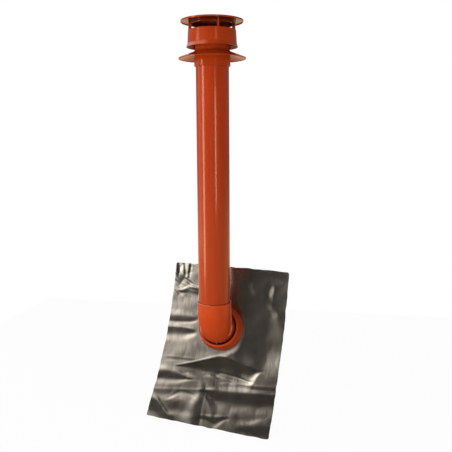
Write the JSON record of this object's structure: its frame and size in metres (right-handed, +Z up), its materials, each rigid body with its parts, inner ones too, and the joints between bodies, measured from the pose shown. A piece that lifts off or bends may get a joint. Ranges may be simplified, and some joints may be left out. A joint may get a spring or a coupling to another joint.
{
  "type": "static roof vent",
  "caption": "Plastic roof vent: a weather cowl with skirt, band and lid on a straight pipe, turned by an elbow into a flanged collar on a dressed lead flashing sheet.",
  "frame": {"origin": "where the axis of the elbow's lower leg crosses the roof plane, the underside of the flat part of the flashing sheet", "axes": "+Z up along the pipe, -Y down the slope to the front, +X to the right seen from the front"},
  "size_m": [0.4946, 0.3076, 1.4285],
  "materials": {
    "lid_plastic": "semi-gloss orange-brown plastic",
    "band_plastic": "semi-gloss orange-brown plastic",
    "cowl_plastic": "semi-gloss orange-brown plastic",
    "pipe_plastic": "semi-gloss orange-brown plastic",
    "elbow_plastic": "semi-gloss orange-brown plastic",
    "collar_plastic": "semi-gloss orange-brown plastic",
    "post_plastic": "semi-gloss orange-brown plastic",
    "lead": "dull grey lead sheet, creased"
  },
  "bodies": {
    "root": {"cap_lid": "lid_plastic", "wind_band": "band_plastic", "cowl_base": "cowl_plastic", "vent_pipe": "pipe_plastic", "elbow": "elbow_plastic", "collar": "collar_plastic", "flashing_sheet": "lead", "post_1": "post_plastic", "post_2": "post_plastic", "post_3": "post_plastic", "post_4": "post_plastic"}
  },
  "joints": []
}
